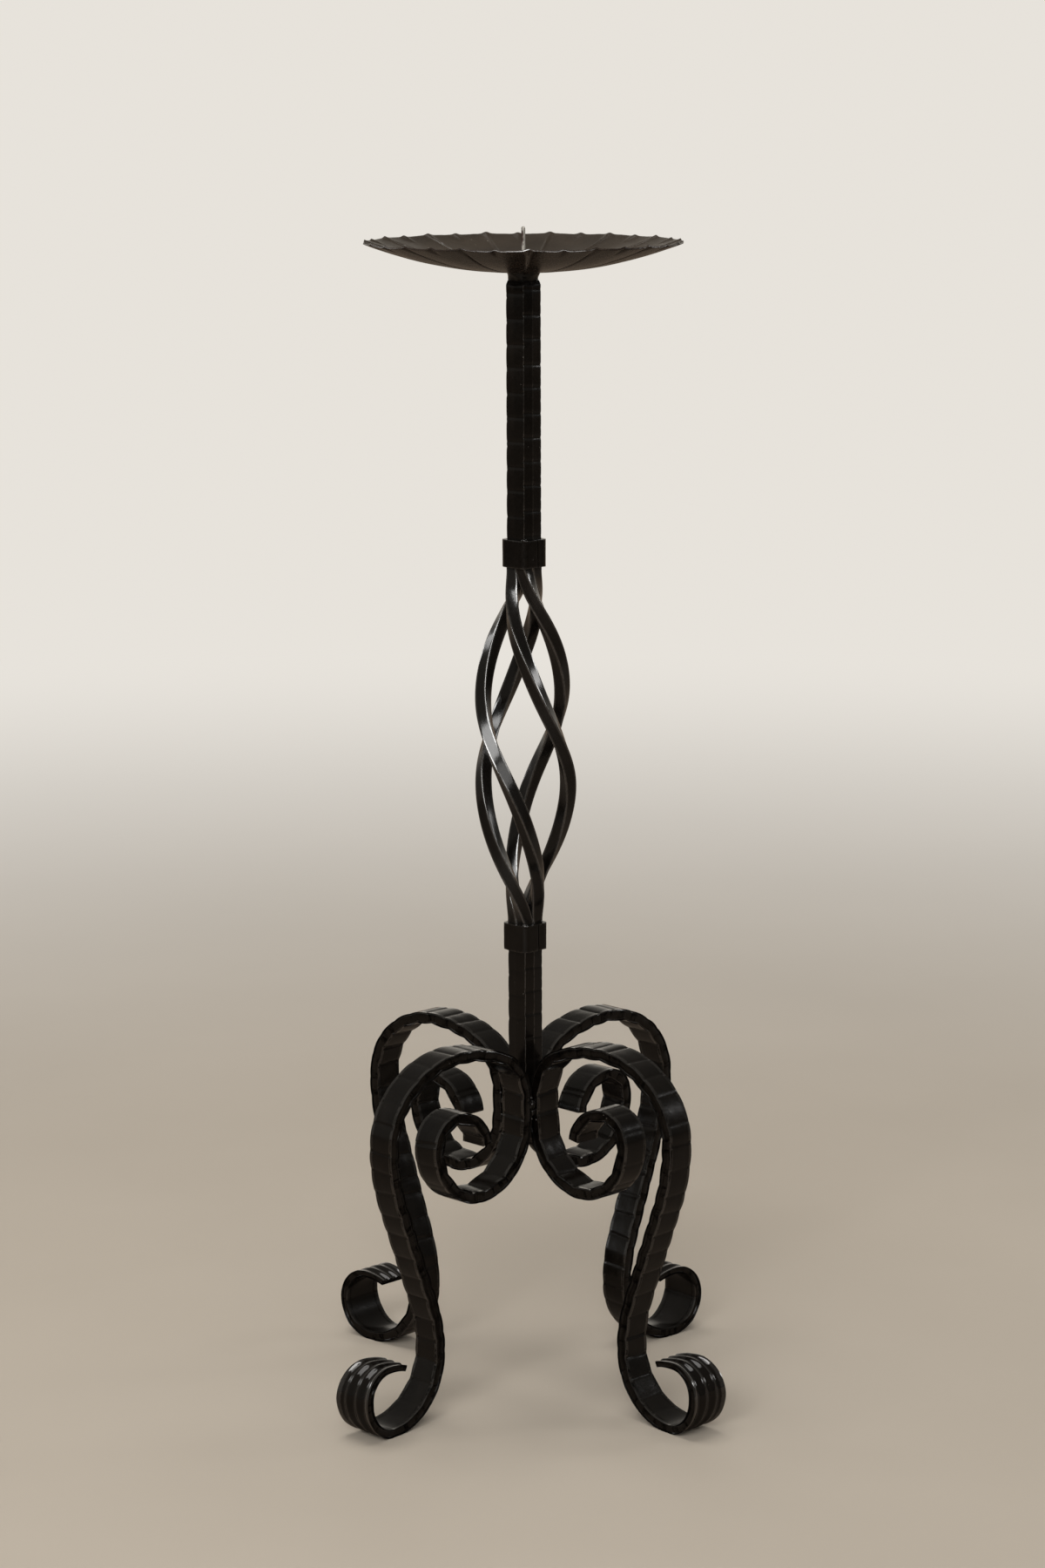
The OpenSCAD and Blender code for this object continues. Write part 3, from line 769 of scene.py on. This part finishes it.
# The weld under the pan. One thick lumpy run round the neck that flares into the sheet.
NECK_R = 9.1 * MM
NECK_FLARE = 1.4 * MM
neck_low, neck_high = (corner.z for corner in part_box("pan_weld"))
bpy.ops.object.select_all(action="DESELECT")
bpy.ops.mesh.primitive_cylinder_add(vertices=96, radius=NECK_R, depth=neck_high - neck_low)
neck = bpy.context.object
neck.name = "neck_weld"
edit(neck)
bpy.ops.mesh.select_all(action="SELECT")
bpy.ops.transform.translate(value=(0, 0, (neck_low + neck_high) / 2))
pick(neck, lambda a, b: abs(a.z - b.z) > 1 * MM, "EDGE")
bpy.ops.mesh.subdivide(number_cuts=16)
done()
for vertex in neck.data.vertices:
    p = vertex.co
    up = (p.z - neck_low) / (neck_high - neck_low)
    flat = Vector((p.x, p.y, 0))
    angle = math.atan2(p.y, p.x)
    # Square like the bar's end below, and round where it meets the pan
    square = 1 - 0.16 * (0.5 + 0.5 * math.cos(4 * angle)) * (1 - steady(up * 1.4))
    swell = NECK_FLARE * up ** 3
    lumps = 0.55 * MM * noise.noise(Vector((p.x * 230, p.y * 230, p.z * 420)))
    vertex.co = p + flat.normalized() * (flat.length * (square - 1) + swell + lumps)
bpy.ops.object.shade_smooth_by_angle(angle=math.radians(45))
finish(neck, black_paint, "black_iron", "pan_weld")


# The drip pan. A disc of sheet dished over a stake. Creases were struck into it from
# below with a blunt chisel: long ones, and between them short ones at the rim.
PAN_R = 97.2 * MM
PAN_FLAT_R = 11 * MM
PAN_T = 1.5 * MM
RIM_T = 0.9 * MM
PAN_CREASES = 15
CREASE_START = 11
CREASE_H = 1 * MM
LONG_CREASE_H = 0.75 * MM
PANEL_SAG = 0.45 * MM
PAN_POINTS = 720
# The stretch of rim painted bright, a painted highlight on the side towards the camera: its middle's and its
# half width's angle
RIM_SHEEN_AT, RIM_SHEEN_HALF = 236, 22
PAN_RINGS = 48
pan_low, pan_high = (corner.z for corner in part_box("drip_pan"))
PAN_RISE = pan_high - pan_low - PAN_T - CREASE_H
dish_r = (PAN_R ** 2 + PAN_RISE ** 2) / (2 * PAN_RISE)


def dish(r):
    return dish_r - math.sqrt(dish_r ** 2 - r * r)


def pan_height(r):
    return PAN_RISE * (dish(r) - dish(PAN_FLAT_R)) / (dish(PAN_R) - dish(PAN_FLAT_R))


def crease_lift(r, angle, u):
    """How far the sheet stands off the plain dish, on its creases and slack between them."""
    half_pitch = 180 / PAN_CREASES
    number = round((angle - CREASE_START) / half_pitch)
    d = math.radians(angle - CREASE_START - number * half_pitch) * r
    at_rim = steady((u - 0.86) / 0.14)
    height = CREASE_H * at_rim
    half = (0.9 + 1.5 * at_rim) * MM
    if number % 2 == 0:
        height = max(height, LONG_CREASE_H * steady(u / 0.3))
    phase = (angle - CREASE_START) / (2 * half_pitch)
    sag = PANEL_SAG * u * math.sin(math.pi * (phase % 1)) ** 2
    return height * math.exp(-(d / half) ** 2) - sag


bpy.ops.object.select_all(action="DESELECT")
bpy.ops.mesh.primitive_circle_add(vertices=PAN_POINTS, radius=PAN_FLAT_R, fill_type="TRIFAN")
pan = bpy.context.object
pan.name = "creased_pan"
edit(pan)
bpy.ops.mesh.select_all(action="SELECT")
bpy.ops.transform.translate(value=(0, 0, pan_low + PAN_T))
pick(pan, lambda a, b: min(a.xy.length, b.xy.length) > PAN_FLAT_R * 0.99, "EDGE")
for i in range(PAN_RINGS):
    r0, r1 = (PAN_FLAT_R + (PAN_R - PAN_FLAT_R) * n / PAN_RINGS for n in (i, i + 1))
    bpy.ops.mesh.extrude_edges_move()
    bpy.ops.transform.resize(value=(r1 / r0, r1 / r0, 1), center_override=(0, 0, 0))
    bpy.ops.transform.translate(value=(0, 0, pan_height(r1) - pan_height(r0)))
done()
rim_wear_and_sheen = []
sheet_share = []
for vertex in pan.data.vertices:
    p = vertex.co
    r = p.xy.length
    u = max(0, (r - PAN_FLAT_R) / (PAN_R - PAN_FLAT_R))
    angle = math.degrees(math.atan2(p.y, p.x))
    wobble = 0.5 - 0.5 * noise.noise(Vector((p.x * 30, p.y * 30, 4.2)))
    ripple = 0.5 - 0.5 * noise.noise(Vector((p.x * 140, p.y * 140, 7.7)))
    nick = 0.5 - 0.5 * noise.noise(Vector((p.x * 520, p.y * 520, 2.9)))
    down = 0.5 * wobble * u + (0.3 * ripple + 0.16 * nick) * u ** 6
    inwards = 1 - (0.0018 * ripple + 0.0012 * nick) * u ** 8
    # The rim's edge is a little worn all round; on the stretch towards the camera it is painted bright, a
    # painted highlight.
    rubbed_and_sheen = steady(1.4 * (1 - abs((angle - RIM_SHEEN_AT + 180) % 360 - 180) / RIM_SHEEN_HALF))
    rim_wear_and_sheen.append(steady((u - 0.985) / 0.012) * (1.4 - nick) * (0.1 + 0.9 * rubbed_and_sheen))
    sheet_share.append(1 - (1 - RIM_T / PAN_T) * steady((u - 0.5) / 0.5))
    vertex.co = Vector((p.x * inwards, p.y * inwards, p.z + crease_lift(r, angle, u) - down * MM))
edit(pan)
bpy.ops.mesh.select_all(action="SELECT")
bpy.ops.mesh.normals_make_consistent(inside=False)
done()
if pan.data.polygons[0].normal.z < 0:
    edit(pan)
    bpy.ops.mesh.select_all(action="SELECT")
    bpy.ops.mesh.flip_normals()
    done()
thinning = pan.vertex_groups.new(name="thickness")
for index, share in enumerate(sheet_share):
    thinning.add([index], share, "REPLACE")
pan.data.attributes.new("wear_and_sheen", "FLOAT", "POINT").data.foreach_set("value", rim_wear_and_sheen)
sheet = pan.modifiers.new("sheet", "SOLIDIFY")
sheet.thickness = PAN_T
sheet.offset = -1
sheet.vertex_group = "thickness"
sheet.material_offset = 1
sheet.material_offset_rim = 1
burr = pan.modifiers.new("burr", "BEVEL")
burr.width = 0.22 * MM
burr.segments = 2
burr.limit_method = "ANGLE"
burr.angle_limit = math.radians(60)
pan_paint = painted_iron("pan_paint", (0.018, 0.0115, 0.006), (0.034, 0.0235, 0.0145),
                         (0.3, 0.27, 0.23), 1.0, 0.24, 0.37, 0.14, grain=520.0, patch=26.0, specks=0.8,
                         shine=0.4)
# The underside's paint, lighter and browner than the stand's black: black paint with a painted reflection of
# the lit floor below.
under_paint_and_sheen = painted_iron("pan_under_paint_and_sheen", (0.018, 0.0115, 0.0085), (0.05, 0.036, 0.028),
                           (0.05, 0.043, 0.035), 0.1, 0.2, 0.36, 0.2, grain=420.0, patch=40.0)
finish(pan, pan_paint, "pan_iron", "drip_pan")
pan.data.materials.append(under_paint_and_sheen)
bpy.ops.object.modifier_apply(modifier="sheet")
bpy.ops.object.modifier_apply(modifier="burr")
bpy.ops.object.shade_smooth_by_angle(angle=math.radians(50))


# The pricket spike. A short length of bare wire, its top end filed round, riveted through the pan.
# Brown rust creeps over it, and one side is painted brighter and the other browner: painted light and shade.
SPIKE_R = 1.5 * MM
SPIKE_TIP_R = 1.25 * MM
spike_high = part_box("pricket_spike")[1].z
bpy.ops.object.select_all(action="DESELECT")
bpy.ops.mesh.primitive_cylinder_add(vertices=32, radius=SPIKE_R, depth=spike_high - neck_high)
spike = bpy.context.object
spike.name = "bare_spike"
edit(spike)
bpy.ops.mesh.select_all(action="SELECT")
bpy.ops.transform.translate(value=(0, 0, (spike_high + neck_high) / 2))
pick(spike, lambda a, b: min(a.z, b.z) > spike_high - 0.01 * MM, "EDGE")
bpy.ops.mesh.bevel(offset=1.2 * MM, segments=6)
pick(spike, lambda a, b: abs(a.z - b.z) > 10 * MM, "EDGE")
bpy.ops.mesh.subdivide(number_cuts=40)
done()
for vertex in spike.data.vertices:
    p = vertex.co
    up = (p.z - neck_high) / (spike_high - neck_high)
    slim = 1 - (1 - SPIKE_TIP_R / SPIKE_R) * up
    pinch = slim * (1 - 0.1 * (0.5 + 0.5 * noise.noise(Vector((p.x * 300, p.y * 300, p.z * 160)))))
    vertex.co = (p.x * pinch, p.y * pinch, p.z)
bpy.ops.object.shade_smooth_by_angle(angle=math.radians(50))


def bare_steel():
    """Bare wire: bright drawn metal with brown rust creeping over it, and painted light and shade: the side
    towards +X -Y brighter, the far side browner.
    """
    material = bpy.data.materials.new("bare_spike_steel")
    material.use_nodes = True
    tree = material.node_tree
    shader = tree.nodes["Principled BSDF"]
    place = node(tree, "ShaderNodeTexCoord", (-900, 0))
    stretch = node(tree, "ShaderNodeMapping", (-700, 0))
    stretch.inputs["Scale"].default_value = (1, 1, 0.15)
    lines = node(tree, "ShaderNodeTexNoise", (-500, 0), Scale=1500.0, Detail=4.0)
    rust = node(tree, "ShaderNodeTexNoise", (-500, 300), Scale=260.0, Detail=5.0)
    tree.links.new(place.outputs["Object"], stretch.inputs["Vector"])
    tree.links.new(stretch.outputs["Vector"], lines.inputs["Vector"])
    tree.links.new(place.outputs["Object"], rust.inputs["Vector"])
    # Painted light and shade: the side towards +X -Y is painted brighter, with less rust brown, and the far
    # side browner.
    side = node(tree, "ShaderNodeVectorMath", (-700, 600), operation="DOT_PRODUCT")
    side.inputs[1].default_value = (math.sqrt(0.5), -math.sqrt(0.5), 0)
    tree.links.new(place.outputs["Object"], side.inputs[0])
    painted_lit_side = node(tree, "ShaderNodeMapRange", (-500, 600))
    painted_lit_side.inputs["From Min"].default_value = -SPIKE_R
    painted_lit_side.inputs["From Max"].default_value = SPIKE_R
    painted_lit_side.inputs["To Min"].default_value = 0.22
    painted_lit_side.inputs["To Max"].default_value = -0.16
    tree.links.new(side.outputs["Value"], painted_lit_side.inputs["Value"])
    rust_and_lit_side = node(tree, "ShaderNodeMath", (-300, 500), operation="ADD")
    tree.links.new(rust.outputs["Fac"], rust_and_lit_side.inputs[0])
    tree.links.new(painted_lit_side.outputs["Result"], rust_and_lit_side.inputs[1])
    spread = node(tree, "ShaderNodeValToRGB", (-250, 300))
    spread.color_ramp.elements[0].position = 0.42
    spread.color_ramp.elements[0].color = (0.5, 0.47, 0.42, 1)
    spread.color_ramp.elements[1].position = 0.62
    spread.color_ramp.elements[1].color = (0.045, 0.022, 0.014, 1)
    tree.links.new(rust_and_lit_side.outputs[0], spread.inputs["Fac"])
    tree.links.new(spread.outputs["Color"], shader.inputs["Base Color"])
    metal = node(tree, "ShaderNodeMapRange", (-250, 0))
    metal.inputs["From Min"].default_value = 0.62
    metal.inputs["From Max"].default_value = 0.45
    metal.inputs["To Max"].default_value = 0.45
    tree.links.new(rust_and_lit_side.outputs[0], metal.inputs["Value"])
    tree.links.new(metal.outputs["Result"], shader.inputs["Metallic"])
    rough = node(tree, "ShaderNodeMapRange", (-250, -250))
    rough.inputs["To Min"].default_value = 0.3
    rough.inputs["To Max"].default_value = 0.6
    tree.links.new(lines.outputs["Fac"], rough.inputs["Value"])
    tree.links.new(rough.outputs["Result"], shader.inputs["Roughness"])
    relief = node(tree, "ShaderNodeBump", (-250, -500), Strength=0.3, Distance=0.1 * MM)
    tree.links.new(lines.outputs["Fac"], relief.inputs["Height"])
    tree.links.new(relief.outputs["Normal"], shader.inputs["Normal"])
    return material


finish(spike, bare_steel(), "spike_steel", "pricket_spike")


# The floor. Plain and pale, and far off it fades into the pale surroundings. The iron
# mirrors it as the darker boards that it stands on. Beyond the stand, away from the camera,
# it glows warm brown for all but camera rays: a painted pool of light that the iron mirrors and is lit by.
SURROUND = (0.80, 0.765, 0.71, 1)
bpy.ops.object.select_all(action="DESELECT")
bpy.ops.mesh.primitive_circle_add(vertices=96, radius=30, fill_type="NGON")
floor = bpy.context.object
floor.name = "floor"
floor_material = bpy.data.materials.new("pale_floor")
floor_material.use_nodes = True
floor_tree = floor_material.node_tree
floor_shader = floor_tree.nodes["Principled BSDF"]
floor_shader.inputs["Roughness"].default_value = 0.6
floor_place = node(floor_tree, "ShaderNodeTexCoord", (-1100, 0))
floor_far = node(floor_tree, "ShaderNodeVectorMath", (-900, -300), operation="LENGTH")
floor_mottle = node(floor_tree, "ShaderNodeTexNoise", (-900, 200), Scale=3.0, Detail=6.0)
floor_colour = node(floor_tree, "ShaderNodeMix", (-600, 200), data_type="RGBA")
floor_colour.inputs[6].default_value = (0.50, 0.44, 0.365, 1)
floor_colour.inputs[7].default_value = (0.58, 0.515, 0.435, 1)
floor_tree.links.new(floor_place.outputs["Object"], floor_mottle.inputs["Vector"])
floor_tree.links.new(floor_place.outputs["Object"], floor_far.inputs[0])
floor_tree.links.new(floor_mottle.outputs["Fac"], floor_colour.inputs[0])
floor_seen = node(floor_tree, "ShaderNodeLightPath", (-600, -600))
floor_shown = node(floor_tree, "ShaderNodeMix", (-350, 200), data_type="RGBA")
floor_shown.inputs[6].default_value = (0.15, 0.115, 0.085, 1)
floor_tree.links.new(floor_seen.outputs["Is Camera Ray"], floor_shown.inputs[0])
floor_tree.links.new(floor_colour.outputs[2], floor_shown.inputs[7])
floor_tree.links.new(floor_shown.outputs[2], floor_shader.inputs["Base Color"])
floor_fade = node(floor_tree, "ShaderNodeMapRange", (-600, -300), interpolation_type="SMOOTHSTEP")
floor_fade.inputs["From Min"].default_value = 0.4
floor_fade.inputs["From Max"].default_value = 3.0
floor_glows = node(floor_tree, "ShaderNodeMath", (-300, -300), operation="MULTIPLY")
floor_glow = node(floor_tree, "ShaderNodeEmission", (0, -300), Strength=1.0)
# Painted light: beyond the stand the floor glows for mirrored and bounced rays, a pool of light that is no
# lamp.
floor_beyond = node(floor_tree, "ShaderNodeVectorMath", (-900, -600), operation="DOT_PRODUCT")
floor_beyond.inputs[1].default_value = (math.sqrt(0.5), math.sqrt(0.5), 0)
floor_lit = node(floor_tree, "ShaderNodeMapRange", (-600, -900), interpolation_type="SMOOTHSTEP")
floor_lit.inputs["From Min"].default_value = 0.5
floor_lit.inputs["From Max"].default_value = 2.0
floor_either = node(floor_tree, "ShaderNodeMath", (-450, -600), operation="MAXIMUM")
floor_glow_colour = node(floor_tree, "ShaderNodeMix", (-200, -600), data_type="RGBA")
floor_glow_colour.inputs[6].default_value = (0.25, 0.19, 0.14, 1)
floor_glow_colour.inputs[7].default_value = SURROUND
floor_mix = node(floor_tree, "ShaderNodeMixShader", (300, 0))
floor_tree.links.new(floor_far.outputs["Value"], floor_fade.inputs["Value"])
floor_tree.links.new(floor_fade.outputs["Result"], floor_glows.inputs[0])
floor_tree.links.new(floor_place.outputs["Object"], floor_beyond.inputs[0])
floor_tree.links.new(floor_beyond.outputs["Value"], floor_lit.inputs["Value"])
floor_tree.links.new(floor_seen.outputs["Is Camera Ray"], floor_either.inputs[0])
floor_tree.links.new(floor_lit.outputs["Result"], floor_either.inputs[1])
floor_tree.links.new(floor_either.outputs[0], floor_glows.inputs[1])
floor_tree.links.new(floor_seen.outputs["Is Camera Ray"], floor_glow_colour.inputs[0])
floor_tree.links.new(floor_glow_colour.outputs[2], floor_glow.inputs["Color"])
floor_tree.links.new(floor_glows.outputs[0], floor_mix.inputs[0])
floor_tree.links.new(floor_shader.outputs[0], floor_mix.inputs[1])
floor_tree.links.new(floor_glow.outputs[0], floor_mix.inputs[2])
floor_tree.links.new(floor_mix.outputs[0], floor_tree.nodes["Material Output"].inputs["Surface"])
floor.data.materials.append(floor_material)


# The light. A broad soft box overhead, a wide window behind the photographer's left
# shoulder and a weaker one behind the right, which give the gloss its highlights, and a
# narrow one on the right. The room is pale behind the stand and dim elsewhere.
def soft_box(name, place, aim, width, height, power, colour=(1, 1, 1)):
    lamp = bpy.data.lights.new(name, "AREA")
    lamp.shape = "RECTANGLE"
    lamp.size = width
    lamp.size_y = height
    lamp.energy = power
    lamp.color = colour
    made = bpy.data.objects.new(name, lamp)
    bpy.context.scene.collection.objects.link(made)
    made.location = place
    made.rotation_euler = (Vector(aim) - Vector(place)).to_track_quat("-Z", "Y").to_euler()


soft_box("overhead", (-0.1, 0.3, 2.7), (0, 0, 0.4), 1.9, 1.9, 36, (1.0, 0.975, 0.94))
soft_box("wide_window", (-3.4, -2.11, 2.55), (0, 0, 0.5), 2.9, 1.5, 118, (1.0, 0.995, 0.98))
soft_box("far_window", (-0.78, -2.9, 1.64), (0, 0, 0.5), 1.5, 0.95, 11, (1.0, 0.985, 0.96))
soft_box("left_window", (-1.21, 4.85, 1.9), (0, 0, 0.5), 1.5, 0.75, 14, (1.0, 0.99, 0.975))
soft_box("right_window", (4.41, -2.35, 2.05), (0, 0, 0.5), 1.2, 0.9, 23, (1.0, 0.99, 0.975))

WALL_TURN = math.radians(42)
world = bpy.data.worlds.new("pale_room")
bpy.context.scene.world = world
world.use_nodes = True
sky = world.node_tree
sky.nodes.clear()
seen = node(sky, "ShaderNodeBackground", (0, 200), Color=SURROUND, Strength=1.0)
room = node(sky, "ShaderNodeBackground", (0, 0), Color=(1.0, 0.93, 0.82, 1))
where = node(sky, "ShaderNodeTexCoord", (-900, 0))
behind = node(sky, "ShaderNodeVectorMath", (-700, 0), operation="DOT_PRODUCT")
behind.inputs[1].default_value = (math.cos(WALL_TURN), math.sin(WALL_TURN), 0)
paleness = node(sky, "ShaderNodeMapRange", (-400, 0), interpolation_type="SMOOTHSTEP")
paleness.inputs["From Min"].default_value = 0.45
paleness.inputs["From Max"].default_value = 1.0
paleness.inputs["To Min"].default_value = 0.0
paleness.inputs["To Max"].default_value = 0.52
height = node(sky, "ShaderNodeSeparateXYZ", (-700, 300))
lowness = node(sky, "ShaderNodeMapRange", (-500, 300), interpolation_type="SMOOTHSTEP")
lowness.inputs["From Min"].default_value = 0.52
lowness.inputs["From Max"].default_value = 0.1
wall = node(sky, "ShaderNodeMath", (-300, 200), operation="MULTIPLY")
beside = node(sky, "ShaderNodeVectorMath", (-700, -300), operation="DOT_PRODUCT")
beside.inputs[1].default_value = (-math.sqrt(0.5), math.sqrt(0.5), 0)
dimness = node(sky, "ShaderNodeMapRange", (-400, -300))
dimness.inputs["From Min"].default_value = -1.0
dimness.inputs["To Min"].default_value = 0.08
dimness.inputs["To Max"].default_value = 0.18
room_level = node(sky, "ShaderNodeMath", (-200, -100), operation="ADD")
ray = node(sky, "ShaderNodeLightPath", (-300, 400))
either = node(sky, "ShaderNodeMath", (-100, 400), operation="MAXIMUM")
choose = node(sky, "ShaderNodeMixShader", (250, 100))
shown = node(sky, "ShaderNodeOutputWorld", (450, 100))
sky.links.new(where.outputs["Generated"], behind.inputs[0])
sky.links.new(behind.outputs["Value"], paleness.inputs["Value"])
sky.links.new(where.outputs["Generated"], beside.inputs[0])
sky.links.new(beside.outputs["Value"], dimness.inputs["Value"])
sky.links.new(where.outputs["Generated"], height.inputs[0])
sky.links.new(height.outputs["Z"], lowness.inputs["Value"])
sky.links.new(paleness.outputs["Result"], wall.inputs[0])
sky.links.new(lowness.outputs["Result"], wall.inputs[1])
sky.links.new(wall.outputs[0], room_level.inputs[0])
sky.links.new(dimness.outputs["Result"], room_level.inputs[1])
sky.links.new(room_level.outputs[0], room.inputs["Strength"])
sky.links.new(ray.outputs["Is Camera Ray"], either.inputs[0])
sky.links.new(ray.outputs["Is Transmission Ray"], either.inputs[1])
sky.links.new(either.outputs[0], choose.inputs[0])
sky.links.new(room.outputs[0], choose.inputs[1])
sky.links.new(seen.outputs[0], choose.inputs[2])
sky.links.new(choose.outputs[0], shown.inputs[0])


# The camera stands where the photographer did: 2.4 m off, a little above the pan.
CAMERA_OFF = 2.404
CAMERA_H = 0.853
PITCH = math.radians(10.91)
YAW = math.radians(0.033)
ROLL = math.radians(-0.16)
eye = bpy.data.cameras.new("photo_camera")
eye.sensor_fit = "VERTICAL"
eye.sensor_width = 24
eye.sensor_height = 36
eye.lens = 90.18
camera = bpy.data.objects.new("photo_camera", eye)
bpy.context.scene.collection.objects.link(camera)
camera.location = (-CAMERA_OFF / math.sqrt(2), -CAMERA_OFF / math.sqrt(2), CAMERA_H)
camera.rotation_euler = (
    Matrix.Rotation(math.radians(-45) + YAW, 4, "Z")
    @ Matrix.Rotation(math.pi / 2 - PITCH, 4, "X")
    @ Matrix.Rotation(ROLL, 4, "Z")
).to_euler()
bpy.context.scene.camera = camera
bpy.context.scene.view_settings.view_transform = "Standard"
